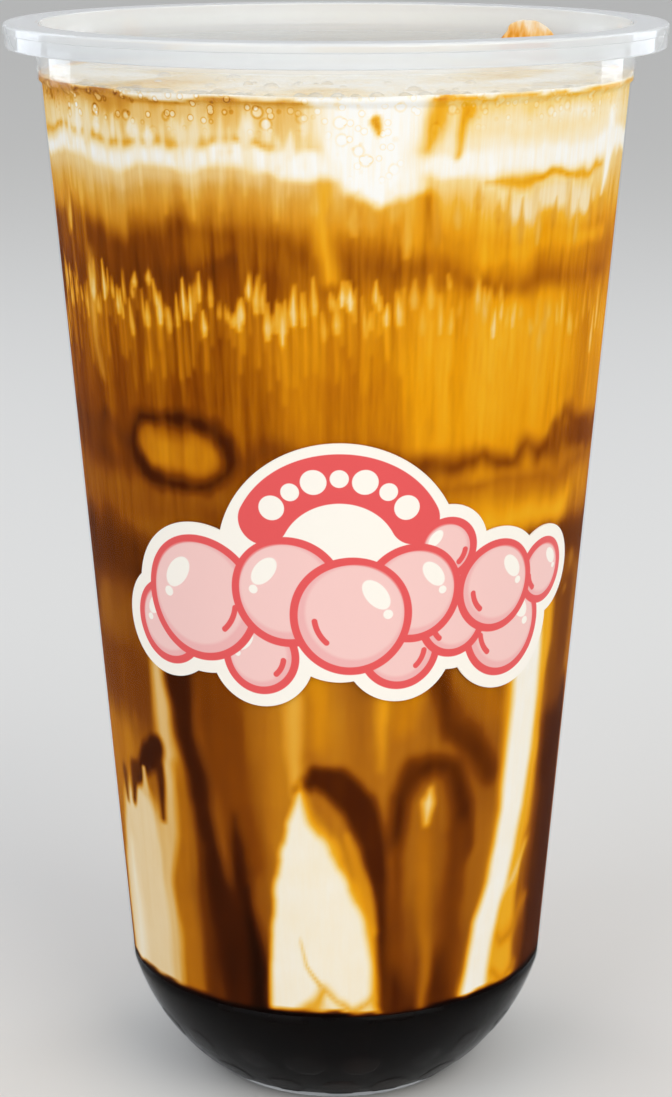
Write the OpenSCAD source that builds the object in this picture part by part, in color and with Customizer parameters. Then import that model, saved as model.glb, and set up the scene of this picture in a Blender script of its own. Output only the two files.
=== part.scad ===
// Bubble tea: a clear U-shaped cup filled with pearls, brown sugar milk tea and
// milk foam, with a round-bubble sticker on its front and no lid or straw.
// Lengths are in millimetres. The cup stands on z = 0, the Z axis is its centre
// line, and the sticker faces -Y.

/* [Cup] */
// Height from the table to the top of the rim
cup_h = 159; // [130:1:190]
// Outer radius of the wall at the bottom of the collar
wall_top_r = 42.4; // [40:0.1:43.5]
// Outer radius of the wall where it meets the round bowl
wall_low_r = 31.65; // [28:0.05:36]
// Height of the round bowl, from the table to where the wall starts
bowl_h = 17.4; // [12:0.1:24]
// Radius of the flat foot that the cup stands on
foot_r = 19; // [14:0.5:24]
// Thickness of the wall
wall_t = 0.6; // [0.5:0.05:1.2]
// Thickness of the base, above the recess under it
base_t = 1.2; // [0.8:0.1:2]
// Depth of the recess under the base, inside the foot
recess_d = 0.5; // [0.2:0.1:1]
// Width of the ring that the recess leaves to stand on
foot_ring_w = 3.2; // [2:0.1:6]

/* [Rim] */
// Outer radius of the rim's flat plate
rim_r = 47.5; // [46:0.5:52]
// Height of the rim, from the top of its plate to the bottom of its skirt
rim_h = 3.4; // [2.4:0.1:5]
// Thickness of the rim's plate at its edge
plate_t = 1.25; // [0.8:0.05:1.8]
// How far the skirt's outer face is set in below the plate
skirt_set_in = 0.2; // [0.05:0.05:0.6]
// Thickness of the skirt
skirt_t = 0.9; // [0.6:0.1:1.4]
// Depth of the collar below the top of the rim
collar_h = 8; // [6:0.1:12]
// How far the collar stands out past the wall under it
collar_step = 0.4; // [0.1:0.05:0.8]
// How much wider the collar is at the rim than at its bottom
collar_flare = 0.2; // [0:0.05:0.6]

/* [Drink] */
// Depth of the free space above the drink, below the top of the rim
headspace = 7; // [4.5:0.1:20]
// Thickness of the milk foam that floats on top
foam_t = 14; // [8:0.5:25]
// Height of the pearl layer at the wall, from the table
pearl_top = 18.6; // [14:0.1:24]
// Radius of one pearl
pearl_r = 4.2; // [3:0.1:5]
// How far the highest pearls stand out of the layer
pearl_rise = 1.2; // [0.5:0.1:1.8]
// Number of pearls that show in the ring nearest the wall
pearl_count = 13; // [8:1:15]

/* [Sticker] */
// Height of the sticker's centre above the table
sticker_z = 86.5; // [80:0.5:100]
// How far round the cup the sticker's centre sits from the front, in degrees
sticker_turn = 2.5; // [-20:0.5:20]
// Thickness of the sticker
sticker_t = 0.2; // [0.1:0.05:0.4]
// Width of the pale border around the printed bubbles
sticker_border = 1.8; // [1:0.1:2.6]

/* [Hidden] */
$fn = 120;

// The printed bubbles: distance round the cup, height from the centre, radius.
// The first is the large arch behind the others.
bubbles = [
    [-1.2, 2.3, 14.9],
    [-27.5, -9, 6.2], [-21.5, -4.5, 9.2], [-12.5, -12, 5.7], [-1, -5.5, 8.2],
    [7.5, -10.8, 6], [15.5, -7.4, 5.4], [14, 3.2, 4.6], [22.5, -3.3, 6.8],
    [24.5, -9.8, 7.2], [32, -2.8, 4.9]
];

// The bowl is part of a ball centred on the cup's axis, through the foot's edge
// and through the bottom of the wall
ball_z = (bowl_h * bowl_h + wall_low_r * wall_low_r - foot_r * foot_r) / (2 * bowl_h);
ball_r = sqrt(foot_r * foot_r + ball_z * ball_z);

// Heights that the pieces share
collar_z = cup_h - collar_h;
fill_z = cup_h - headspace;
foam_z = fill_z - foam_t;
floor_z = recess_d + base_t;

// Outer radii of the collar at its bottom and at the top of the rim
collar_low_r = wall_top_r + collar_step;
collar_top_r = collar_low_r + collar_flare;
skirt_r = rim_r - skirt_set_in;

// Roundings of the moulded rim
edge_r = 0.45;
lip_r = 0.3;

// Cuts run this far past the faces that they open
past = 1;

// Outer radius of the wall at height z
function wall_r(z) =
    wall_low_r + (wall_top_r - wall_low_r) * (z - bowl_h) / (collar_z - bowl_h);

// Half outline of the wall's cone, from the table up to the collar
module cone_2d(inset) {
    polygon([
        [0, 0],
        [wall_r(0) - inset, 0],
        [wall_top_r - inset, collar_z],
        [0, collar_z]
    ]);
}

// Half outline of the body: the cone, rounded off by the ball at its bottom
module body_2d(inset) {
    intersection() {
        cone_2d(inset);
        union() {
            translate([0, ball_z]) circle(r = ball_r - inset);
            translate([0, ball_z]) square([rim_r, cup_h]);
        }
    }
}

// Half outline of the collar, from just under the step up to height top
module collar_2d(inset, top) {
    polygon([
        [0, collar_z - collar_step],
        [wall_r(collar_z - collar_step) - inset, collar_z - collar_step],
        [collar_low_r - inset, collar_z],
        [collar_top_r - inset, cup_h],
        [collar_top_r - inset, top],
        [0, top]
    ]);
}

// The space inside the cup, from its floor to past its mouth
module inside_2d() {
    intersection() {
        union() {
            body_2d(wall_t);
            collar_2d(wall_t, cup_h + past);
        }
        translate([0, floor_z]) square([rim_r, cup_h]);
    }
}

// The plate and the skirt of the rim, with its moulded edges rounded
module rim_2d() {
    plate_low = cup_h - plate_t;
    skirt_low = cup_h - rim_h;
    translate([0, plate_low]) square([rim_r - edge_r, plate_t]);
    translate([0, plate_low]) square([rim_r, plate_t - edge_r]);
    translate([rim_r - edge_r, cup_h - edge_r]) circle(r = edge_r);
    translate([skirt_r - skirt_t, skirt_low + lip_r]) square([skirt_t, rim_h - plate_t]);
    translate([skirt_r - skirt_t + lip_r, skirt_low]) square([skirt_t - 2 * lip_r, rim_h - plate_t]);
    for (x = [skirt_r - skirt_t + lip_r, skirt_r - lip_r])
        translate([x, skirt_low + lip_r]) circle(r = lip_r);
}

module cup() {
    color([0.93, 0.95, 0.96, 0.35])
        rotate_extrude() difference() {
            union() {
                body_2d(0);
                collar_2d(0, cup_h);
                rim_2d();
            }
            inside_2d();
            translate([0, -past]) square([foot_r - foot_ring_w, recess_d + past]);
        }
}

// Everything inside the cup between two heights
module filling(low, high) {
    rotate_extrude() intersection() {
        inside_2d();
        translate([0, low]) square([rim_r, high - low]);
    }
}

// The pearls that stand out of the layer: one ring near the wall, one halfway
// and one in the middle, each at its own height
module pearl_bumps() {
    ring_r = wall_r(pearl_top) - wall_t - pearl_r / 2;
    inner_count = floor(pearl_count / 2);
    for (i = [0 : pearl_count - 1])
        pearl_at(ring_r, i * 360 / pearl_count, i);
    for (i = [0 : inner_count - 1])
        pearl_at(ring_r / 2, (i + 0.4) * 360 / inner_count, i + pearl_count);
    pearl_at(0, 0, 2);
}

// One pearl at radius r and angle a; its number sets how high it stands
module pearl_at(r, a, number) {
    rise = pearl_rise * (0.7 + 0.3 * sin(number * 137.5));
    rotate([0, 0, a]) translate([r, 0, pearl_top + rise - pearl_r]) sphere(r = pearl_r);
}

module pearls() {
    color([0.07, 0.04, 0.03]) {
        filling(floor_z, pearl_top);
        intersection() {
            filling(pearl_top, pearl_top + pearl_r);
            pearl_bumps();
        }
    }
}

module milk_tea() {
    color([0.72, 0.45, 0.16]) difference() {
        filling(pearl_top, foam_z);
        pearl_bumps();
    }
}

module milk_foam() {
    color([0.96, 0.90, 0.80]) filling(foam_z, fill_z);
}

// A straight cut through the front wall, round the middle of one printed bubble
module bubble_cut(bubble, border) {
    turn = sticker_turn + bubble[0] / wall_r(sticker_z) * 180 / PI;
    rotate([90, 0, turn])
        translate([0, sticker_z + bubble[1], 0])
            cylinder(r = bubble[2] + border, h = rim_r);
}

module sticker() {
    low = sticker_z - 30;
    high = sticker_z + 30;
    color([0.95, 0.70, 0.69]) intersection() {
        rotate_extrude() polygon([
            [wall_r(low), low],
            [wall_r(low) + sticker_t, low],
            [wall_r(high) + sticker_t, high],
            [wall_r(high), high]
        ]);
        union() for (b = bubbles) bubble_cut(b, sticker_border);
    }
}

cup();
pearls();
milk_tea();
milk_foam();
sticker();
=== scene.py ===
# %% [markdown]
# # A bubble tea in a clear cup
#
# The object is a tall takeaway cup of brown sugar milk tea. From the bottom up it holds
# black tapioca pearls in syrup, milk tea with syrup streaked down the inside of the wall,
# and a white milk foam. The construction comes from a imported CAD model, the frame, which
# has one solid for each of those and is never moved. This notebook gives each solid the
# surface, the colour and the small detail that the real thing has.

# %% Load the frame
import math
import bpy
import numpy as np
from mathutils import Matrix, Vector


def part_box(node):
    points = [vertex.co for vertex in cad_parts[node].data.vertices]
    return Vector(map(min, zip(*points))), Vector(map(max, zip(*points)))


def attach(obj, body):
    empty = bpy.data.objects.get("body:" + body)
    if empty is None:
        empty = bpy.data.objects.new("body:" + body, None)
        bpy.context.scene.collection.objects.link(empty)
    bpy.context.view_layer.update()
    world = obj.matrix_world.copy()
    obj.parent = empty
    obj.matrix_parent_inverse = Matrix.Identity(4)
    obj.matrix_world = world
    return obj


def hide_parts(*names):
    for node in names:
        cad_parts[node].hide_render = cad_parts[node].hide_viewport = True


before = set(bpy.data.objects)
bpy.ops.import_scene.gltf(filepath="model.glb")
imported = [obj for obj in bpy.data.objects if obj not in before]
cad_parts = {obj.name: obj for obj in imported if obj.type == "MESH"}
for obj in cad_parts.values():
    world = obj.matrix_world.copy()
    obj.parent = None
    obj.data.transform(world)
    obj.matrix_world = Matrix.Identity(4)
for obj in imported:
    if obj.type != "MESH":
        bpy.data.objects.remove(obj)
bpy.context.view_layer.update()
print("solids in the frame:", sorted(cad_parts))

# %% Units and sizes that everything shares
MM = 0.001
scene = bpy.context.scene


def span(node):
    """The lowest and highest height of a solid, in millimetres."""
    low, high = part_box(node)
    return low.z / MM, high.z / MM


rim_z = span("cup")[1]
pearls_low, _ = span("pearls")
tea_low, tea_high = span("milk_tea")
foam_low, foam_high = span("milk_foam")
print(f"cup {rim_z:.0f} mm, pearls to {tea_low:.1f}, tea to {tea_high:.0f}, foam to {foam_high:.0f}")

# %% [markdown]
# ## The camera
#
# The view is from a little above the rim, so that the rim opens into a thin ellipse. A
# long lens at arm's length keeps some perspective: the foot looks narrower than it is. The
# camera looks straight down the middle, tipped down towards the cup.

# %% Place the camera
CAMERA_DISTANCE = 393.3
CAMERA_ABOVE_RIM = 24.5
CAMERA_PITCH = 14.64
LENS, SENSOR = 88.6, 36
camera = bpy.data.objects.new("camera", bpy.data.cameras.new("camera"))
camera.data.lens = LENS
camera.data.sensor_width = SENSOR
camera.location = (0, -CAMERA_DISTANCE * MM, (rim_z + CAMERA_ABOVE_RIM) * MM)
camera.rotation_euler = (math.radians(90 - CAMERA_PITCH), 0, 0)
scene.collection.objects.link(camera)
scene.camera = camera
print("camera height", round(camera.location.z, 4), "m")

# %% [markdown]
# ## Colours and shader nodes
#
# Colours are picked as sRGB hex values, the way a designer would note them, and Blender
# wants linear light, so one function turns one into the other. A second function adds any
# shader node with its settings and its links, which keeps each material short to read.

# %% Two helpers for materials


def linear(hex_code, alpha=1.0):
    """A hex colour such as "#C87814" as linear red, green, blue and alpha."""
    parts = [int(hex_code[i:i + 2], 16) / 255 for i in (1, 3, 5)]
    return [c / 12.92 if c <= 0.04045 else ((c + 0.055) / 1.055) ** 2.4 for c in parts] + [alpha]


def add(tree, kind, inputs=None, stops=None, **settings):
    """Adds a shader node. inputs maps a socket to a value or to another node's output, and
    stops are the (place, hex colour) pairs of a colour ramp."""
    made = tree.nodes.new("ShaderNode" + kind)
    for name, value in settings.items():
        setattr(made, name, value)
    for key, value in (inputs or {}).items():
        if isinstance(value, bpy.types.NodeSocket):
            tree.links.new(value, made.inputs[key])
        else:
            made.inputs[key].default_value = value
    if stops:
        ramp = made.color_ramp.elements
        ramp.remove(ramp[-1])
        ramp[0].position, ramp[0].color = stops[0][0], linear(stops[0][1])
        for place, colour in stops[1:]:
            ramp.new(place).color = linear(colour)
    return made


def material(name):
    """A new material with its output node, and no shader yet."""
    made = bpy.data.materials.new(name)
    made.use_nodes = True
    made.node_tree.nodes.clear()
    add(made.node_tree, "OutputMaterial")
    return made


def shade(mat, shader):
    """Links a shader to the material's output."""
    mat.node_tree.links.new(shader, mat.node_tree.nodes["Material Output"].inputs["Surface"])


print("middle grey in linear light:", round(linear("#808080")[0], 3))

# %% [markdown]
# ## The studio
#
# The floor is one large pale sheet, and the light is soft: a pale room all around, a large
# soft box high in front on the right, a weaker one on the left, and a strip behind on each
# side, which draws a thin bright line down the edges of the plastic.

# %% The floor and the room's light
FLOOR_R = 6.0
ROOM_STRENGTH = 0.66
bpy.ops.mesh.primitive_circle_add(vertices=96, radius=FLOOR_R, fill_type="NGON")
floor = bpy.context.object
floor.name = "floor"

paper = material("pale_studio_paper")
paper_shader = add(paper.node_tree, "BsdfPrincipled", {"Base Color": linear("#E2E1DE"), "Roughness": 0.9})
shade(paper, paper_shader.outputs[0])
floor.data.materials.append(paper)

room = bpy.data.worlds.new("pale_room")
scene.world = room
room.use_nodes = True
backdrop = room.node_tree.nodes["Background"]
backdrop.inputs["Color"].default_value = linear("#F1F3F6")
backdrop.inputs["Strength"].default_value = ROOM_STRENGTH
scene.view_settings.view_transform = "Standard"
print("floor radius", FLOOR_R, "m")

# %% The soft boxes


def soft_box(name, azimuth, elevation, distance, size, watts, colour):
    """A flat lamp aimed at the middle of the cup. Azimuth 0 is in front, 90 on the right."""
    lamp = bpy.data.lights.new(name, "AREA")
    lamp.shape = "RECTANGLE"
    lamp.size, lamp.size_y = size
    lamp.energy = watts
    lamp.color = linear(colour)[:3]
    placed = bpy.data.objects.new(name, lamp)
    turn, tip = math.radians(azimuth), math.radians(elevation)
    placed.location = (
        distance * math.cos(tip) * math.sin(turn),
        -distance * math.cos(tip) * math.cos(turn),
        rim_z / 2 * MM + distance * math.sin(tip),
    )
    placed.rotation_euler = (math.pi / 2 - tip, 0, turn)
    scene.collection.objects.link(placed)


soft_box("key", 38, 36, 1.2, (0.9, 0.9), 6.2, "#FFFAF2")
soft_box("fill", -42, 34, 1.3, (0.9, 0.9), 4.5, "#FBFCFF")
soft_box("edge_left", -128, 18, 0.9, (0.35, 0.8), 1.6, "#E8F1FF")
soft_box("edge_right", 128, 18, 0.9, (0.35, 0.8), 1.6, "#E8F1FF")
print("lamps:", sorted(lamp.name for lamp in bpy.data.lights))

# %% [markdown]
# ## Reading the cup's outline
#
# The cup is a body of revolution, so one outline says everything about it. The CAD mesh
# already holds that outline: every corner lies on it at some angle. Each corner is turned
# into a radius and a height, and walking from one neighbour to the next gives the outline
# in order, from the recess under the foot, up the outside, over the rim, and down inside.
# All later pieces take the inside of the wall from it, so that nothing has to be fitted.

# %% Walk round the outline


def read_outline(node):
    """The (radius, height) points of a turned solid's outline, in order, in millimetres."""
    corners = np.array([v.co for v in node.data.vertices]) / MM
    turned_flat = np.stack([np.hypot(corners[:, 0], corners[:, 1]), corners[:, 2]], 1)
    spots = [tuple(p) for p in np.round(turned_flat, 2)]
    links = {spot: set() for spot in spots}
    for edge in node.data.edges:
        a, b = spots[edge.vertices[0]], spots[edge.vertices[1]]
        if a != b:
            links[a].add(b)
            links[b].add(a)
    start = min((s for s in links if s[1] < 1), key=lambda s: (-s[1], s[0]))
    path = [start]
    while True:
        ahead = [s for s in links[path[-1]] if s not in path]
        if not ahead:
            return np.array(path)
        path.append(min(ahead, key=lambda s: math.dist(s, path[-1])))


outline = read_outline(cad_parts["cup"])
mouth = int(np.argmax(outline[:, 1] - outline[:, 0] * 1e-3))
inner = outline[mouth:][::-1]
outer = outline[: int(np.argmax(outline[:, 0]))]


def inner_r(z):
    """Radius of the inside of the wall at a height, in millimetres."""
    return np.interp(z, inner[:, 1], inner[:, 0])


def outer_r(z):
    """Radius of the outside of the wall at a height, in millimetres."""
    return np.interp(z, outer[:, 1], outer[:, 0])


print(f"outline of {len(outline)} points, mouth radius {inner_r(rim_z):.2f} mm,",
      f"wall {outer_r(90) - inner_r(90):.2f} mm thick")

# %% [markdown]
# ## Turned surfaces
#
# A lathe makes a surface from an outline: each point becomes a ring. It is used for the
# cup and for what fills it. One function turns rows of points into a mesh of quads, so
# the same function also serves where rings are bent out of round. A vertex can carry
# numbers of its own, called attributes, which materials read to know where they are.

# %% A mesh from rings


def ring_mesh(name, rings, attributes=None):
    """Joins rings of points (rows, columns, xyz, in mm) into a smooth mesh in metres, with a
    flat face over each end. attributes holds one number for each point under each name."""
    rows, columns, _ = rings.shape
    index = np.arange(rows * columns).reshape(rows, columns)
    right = np.roll(index, -1, axis=1)
    quads = np.stack([index[:-1], right[:-1], right[1:], index[1:]], -1).reshape(-1, 4)
    faces = quads.tolist() + [index[0][::-1].tolist(), index[-1].tolist()]
    mesh = bpy.data.meshes.new(name)
    mesh.from_pydata((rings.reshape(-1, 3) * MM).tolist(), [], faces)
    for key, values in (attributes or {}).items():
        layer = mesh.attributes.new(key, "FLOAT", "POINT")
        layer.data.foreach_set("value", np.ravel(values).astype(np.float32))
    mesh.shade_smooth()
    for cap in (mesh.polygons[-2], mesh.polygons[-1]):
        cap.use_smooth = False
    made = bpy.data.objects.new(name, mesh)
    scene.collection.objects.link(made)
    print(f"{name}: {len(mesh.vertices)} points, {len(mesh.polygons)} faces")
    return made


def even_turns(columns):
    """Evenly spaced turns round the cup, in degrees, starting at the front."""
    return np.linspace(0, 360, columns, endpoint=False)


def turned(outline_points, turns):
    """Rings of points round the Z axis from (radius, height) points, one column at each turn."""
    angle = np.radians(turns)
    r = outline_points[:, 0][:, None]
    z = outline_points[:, 1][:, None] + 0 * angle
    return np.stack([r * np.sin(angle), -r * np.cos(angle), z], -1)


# %% [markdown]
# ## The cup
#
# The real cup is injection moulded in clear polypropylene. A moulded edge is never sharp,
# because the steel mould is polished and plastic shrinks, so each corner of the outline
# gets a small arc. Those arcs are what catch the light along the rim. Modelling the wall
# with its true thickness, and not as one skin, lets light bend in it as it does in life.

# %% Round the corners of the outline
CORNER_R = 0.22
CORNER_STEPS = 4
SHARP_FROM = math.radians(8)
LONGEST_CUT = 0.4


def round_corners(points, radius):
    """Replaces each sharp corner with a short arc, which takes up to 0.4 of each side."""
    rounded = [points[0]]
    for before, here, after in zip(points[:-2], points[1:-1], points[2:]):
        back, ahead = before - here, after - here
        back_len, ahead_len = np.hypot(*back), np.hypot(*ahead)
        turn = math.pi - math.acos(np.clip(back @ ahead / (back_len * ahead_len), -1, 1))
        if turn < SHARP_FROM:
            rounded.append(here)
            continue
        cut = min(radius * math.tan(turn / 2), LONGEST_CUT * back_len, LONGEST_CUT * ahead_len)
        start, end = here + back * cut / back_len, here + ahead * cut / ahead_len
        for t in np.linspace(0, 1, CORNER_STEPS):
            rounded.append((1 - t) ** 2 * start + 2 * t * (1 - t) * here + t * t * end)
    return np.array(rounded + [points[-1]])


cup_outline = round_corners(outline, CORNER_R)
print(f"{len(outline)} outline points became {len(cup_outline)}")

# %% Turn the cup
CUP_COLUMNS = 288
cup = ring_mesh("cup_clear_wall", turned(cup_outline, even_turns(CUP_COLUMNS)))
cup.modifiers.new("keep the flats flat", "WEIGHTED_NORMAL").keep_sharp = True
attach(cup, "root")
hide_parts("cup")

# %% [markdown]
# ## Clear polypropylene
#
# Polypropylene (PP) has an index of refraction of about 1.49. It is a little cloudy, since
# it crystallises as it cools: the thin wall looks clear, and the thick rim and collar look
# like frosted ice. So the shader is glass with a share of white, which grows in the rim.
# Light from the lamps has to reach the drink behind the wall, and glass would stop it, so
# for shadows the wall is a plain see-through sheet. The wall also mirrors the pale floor,
# which would lay a grey veil over the dark syrup. A polarising filter on the camera takes
# most of that mirror image away, and a share of plain see-through does it here.

# %% Make the plastic
FROST_FROM = foam_high - 1.2
CLEAR_IN_RIM = 0.42
MIRROR_TAKEN_AWAY = 0.94
plastic = material("clear_polypropylene")
tree = plastic.node_tree
place = add(tree, "TexCoord")
height = add(tree, "SeparateXYZ", {0: place.outputs["Object"]})
in_rim = add(tree, "MapRange", {
    "Value": height.outputs["Z"], "From Min": FROST_FROM * MM, "From Max": rim_z * MM,
    "To Min": 1.0, "To Max": CLEAR_IN_RIM,
})
clear = add(tree, "BsdfPrincipled", {
    "Base Color": linear("#EFF1F2"), "Roughness": 0.03, "IOR": 1.49,
    "Transmission Weight": in_rim.outputs[0],
})
see_through = add(tree, "BsdfTransparent", {"Color": linear("#FAFBFC")})
filter_share = add(tree, "MapRange", {
    "Value": height.outputs["Z"], "From Min": FROST_FROM * MM, "From Max": (foam_high + 1.5) * MM,
    "To Min": MIRROR_TAKEN_AWAY, "To Max": 0.0,
})
filtered_wall = add(tree, "MixShader", {
    0: filter_share.outputs[0], 1: clear.outputs[0], 2: see_through.outputs[0],
})
ray = add(tree, "LightPath")
wall_mix = add(tree, "MixShader", {
    0: ray.outputs["Is Shadow Ray"], 1: filtered_wall.outputs[0], 2: see_through.outputs[0],
})
shade(plastic, wall_mix.outputs[0])
cup.data.materials.append(plastic)
print(plastic.name, "with", len(tree.nodes), "nodes")

# %% [markdown]
# ## Where the syrup is
#
# Before the milk goes in, brown sugar syrup is smeared round the inside of the cup. The
# milk runs down it and washes parts of it away. What you see at the wall is one thing
# only: how deep the syrup is there. Bare milk is white, a thin film is gold, a thicker one
# amber, and a thick drip nearly black. A second number says how much syrup has stirred
# into the milk, which turns gold into dull tan.
#
# It could be one large noise texture, but a drip has a direction, a head and a tail, so the
# streaks are drawn one by one: each streak is a brush stroke with a path, a width and a depth,
# laid over the ones before. Places are a turn round the cup in degrees, with 0 in front and 90
# on the right, and a height in millimetres above the table.

# %% Helpers for smooth steps, turns and random values
FLAT_R = 37.0
AROUND = 2 * math.pi * FLAT_R


def smooth_step(t):
    """0 below 0, 1 above 1, and a soft curve between."""
    t = np.clip(t, 0, 1)
    return t * t * (3 - 2 * t)


def turn_from(turn, middle):
    """How far a turn is from a middle one, in degrees: negative to its left."""
    return (turn - middle + 180) % 360 - 180


def mottle(turn, z, cell_across, cell_up, seed):
    """Smooth random values from -1 to 1, in cells of that many millimetres, with no seam."""
    count = max(3, round(AROUND / cell_across))
    rows = int(rim_z / cell_up) + 3
    values = np.random.default_rng(seed).uniform(-1, 1, (rows, count))
    x = (turn / 360 % 1) * count
    y = z / cell_up
    x0, y0 = np.floor(x).astype(int), np.floor(y).astype(int)
    fx, fy = smooth_step(x - x0), smooth_step(y - y0)
    x0, x1 = x0 % count, (x0 + 1) % count
    y0, y1 = np.clip(y0, 0, rows - 1), np.clip(y0 + 1, 0, rows - 1)
    low = values[y0, x0] * (1 - fx) + values[y0, x1] * fx
    high = values[y1, x0] * (1 - fx) + values[y1, x1] * fx
    return low * (1 - fy) + high * fy


print(f"the wall unrolls to {AROUND:.0f} mm")

# %% The canvas that the strokes are drawn on


class Canvas:
    """Syrup depth, stirred share and froth at each point of a surface."""

    def __init__(self, turn, z):
        self.turn, self.z = turn, z
        self.across = np.radians(turn) * FLAT_R
        self.depth = np.zeros_like(turn)
        self.stirred = np.zeros_like(turn)
        self.froth = np.zeros_like(turn)
        self.bend_x = 0.8 * mottle(turn, z, 7, 9, 1) + 0.3 * mottle(turn, z, 2.2, 4, 2)
        self.bend_z = 1.0 * mottle(turn, z, 6, 8, 3) + 0.5 * mottle(turn, z, 1.6, 3, 4)

    def cover(self, path, soft, wobble):
        """How much of a stroke covers each point. path holds (turn, height, half width)."""
        cover = np.zeros_like(self.turn)
        x = self.across + wobble * self.bend_x
        z = self.z + wobble * self.bend_z
        stops = [(math.radians(t) * FLAT_R, h, w) for t, h, w in path]
        for (xa, za, wa), (xb, zb, wb) in zip(stops, stops[1:] or stops):
            dx = (x - xa + AROUND / 2) % AROUND - AROUND / 2
            dz = z - za
            long2 = (xb - xa) ** 2 + (zb - za) ** 2 + 1e-9
            t = np.clip((dx * (xb - xa) + dz * (zb - za)) / long2, 0, 1)
            away = np.hypot(dx - t * (xb - xa), dz - t * (zb - za))
            cover = np.maximum(cover, smooth_step((wa + (wb - wa) * t - away) / soft + 0.5))
        return cover

    def stroke(self, depth, stirred, soft, wobble, path, strength=1.0):
        """Lays one stroke over what is there."""
        cover = self.cover(path, soft, wobble) * strength
        self.depth += (depth - self.depth) * cover
        self.stirred += (stirred - self.stirred) * cover

    def lay(self, strokes):
        """Lays a list of strokes in order, so that a later one covers an earlier one."""
        for values in strokes:
            self.stroke(*values)


sample = Canvas(np.array([0.0, 10.0]), np.array([60.0, 60.0])).cover([(0, 70, 2), (0, 50, 2)], 1.0, 0)
print("a stroke covers", sample[0], "of its middle and", sample[1], "of a place beside it")

# %% [markdown]
# The ground under the strokes comes first. Going up the wall it changes from brown at the
# bottom to gold and then to the pale top. Across the front it carries painted light and
# shade: the right is painted a brighter, less stirred gold, as if lit from the right, and the
# left is painted deeper, as painted shade.

# %% The ground coat
PAINTED_LIGHT_TURN = 40
GROUND = [  # height, depth, stirred
    (18, 0.74, 0.3), (28, 0.69, 0.3), (40, 0.64, 0.3), (60, 0.63, 0.3), (72, 0.64, 0.4),
    (86, 0.69, 0.4), (93, 0.60, 0.15), (100, 0.63, 0.12), (108, 0.60, 0.03), (116, 0.59, 0.03),
    (122, 0.61, 0.08), (127, 0.65, 0.12), (132, 0.61, 0.2), (136, 0.46, 0.40),
    (140, 0.34, 0.65), (146, 0.22, 0.4), (150, 0.30, 0.5), (152.5, 0.42, 0.6),
]


def ground_coat(canvas):
    """Fills the canvas with the depths that change only slowly, with painted light on the right of the
    front and painted shade on the left.
    """
    heights, depths, stirred = np.array(GROUND).T
    z = canvas.z + 1.5 * canvas.bend_z
    # painted light: a brighter, less stirred gold round this turn on the right of the front
    painted_light_right = np.exp(-(turn_from(canvas.turn, PAINTED_LIGHT_TURN) / 36) ** 2) * smooth_step((z - 88) / 12)
    # painted shade: deeper syrup over the left of the front
    left = smooth_step(-turn_from(canvas.turn, 0) / 34)
    left = left * smooth_step((z - 88) / 8) * smooth_step((138 - z) / 8)
    canvas.depth = np.interp(z, heights, depths) - 0.13 * painted_light_right + 0.12 * left
    canvas.stirred = np.interp(z, heights, stirred) * (1 - 0.8 * painted_light_right)
    clouds = 0.05 * mottle(canvas.turn, z, 14, 30, 5) + 0.04 * mottle(canvas.turn, z, 4, 40, 6)
    canvas.depth += clouds


print("the ground changes at", len(GROUND), "heights")

# %% [markdown]
# The lower half comes next, where the syrup ran down in thick dark drips and the milk
# broke through between them in tongues and streaks. A stroke is its depth, its stirred
# share, the softness of its edge in millimetres, how much it wobbles, and its path. On the
# left a broad tan tongue stands under a ragged dark cap, and next to it thick drips run
# down to the pearls.

# %% The left of the lower half
LOWER = [  # depth, stirred, softness, wobble, path
    (0.72, 0.35, 7.0, 1, [(-76, 66, 7), (-54, 66, 7)]),
    (0.80, 0.25, 6.0, 1, [(-84, 84, 5), (-62, 86, 5), (-50, 84, 4)]),
    (0.20, 0.90, 4.0, 1, [(-62, 18, 10), (-62, 32, 9.6), (-60, 43, 7.0)]),
    (0.08, 0.80, 5.0, 1, [(-69, 18, 2.6), (-68, 30, 1.8), (-67, 38, 0.6)]),
    (0.30, 0.75, 2.8, 1, [(-46, 18, 2.4), (-46, 45, 2.6), (-45.5, 60, 1.9), (-45, 74, 1.2)]),
    (0.62, 0.20, 2.6, 1, [(-41.5, 54, 1.4), (-42, 36, 2.0), (-41, 18, 3.0)]),
    (0.88, 0.30, 2.0, 1, [(-50, 56.5, 2.4), (-54, 55, 2.0), (-58, 51, 1.6)]),
    (0.84, 0.30, 1.4, 1, [(-49, 54, 1.1), (-48.7, 46.5, 0.4)]),
    (0.80, 0.40, 1.8, 1, [(-60, 52, 1.6), (-62, 47, 0.8)]),
    (0.72, 0.60, 1.8, 1, [(-67, 50, 1.2), (-67, 46, 0.6)]),
    (0.30, 0.80, 1.0, 1, [(-55.5, 53, 0.6), (-55, 49, 0.8)]),
    (0.74, 0.15, 3.8, 1, [(-28, 72, 4.4), (-27, 55, 3.8), (-22, 42, 2.8)]),
    (0.88, 0.20, 3.2, 1, [(-38.5, 70, 2.6), (-38, 60, 2.0), (-35.5, 50, 1.6), (-32, 40, 2.6),
                          (-28, 30, 4.0), (-25, 18, 4.8)]),
    (0.90, 0.20, 3.2, 1, [(-25.5, 50, 0.1), (-24, 38, 1.8), (-22, 26, 2.4)]),
    (0.95, 0.20, 2.4, 1, [(-22.4, 38, 0.1), (-21.6, 30, 1.0), (-20.5, 18, 1.5)]),
    (0.80, 0.15, 2.8, 1, [(-35, 44, 0.1), (-34.4, 30, 1.4), (-34, 18, 2.0)]),
]
print(len(LOWER), "strokes on the left")

# %% [markdown]
# In the middle the syrup stands in two dark arches, like the tops of two windows, with
# gold streaks coming down to them from above.

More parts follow.
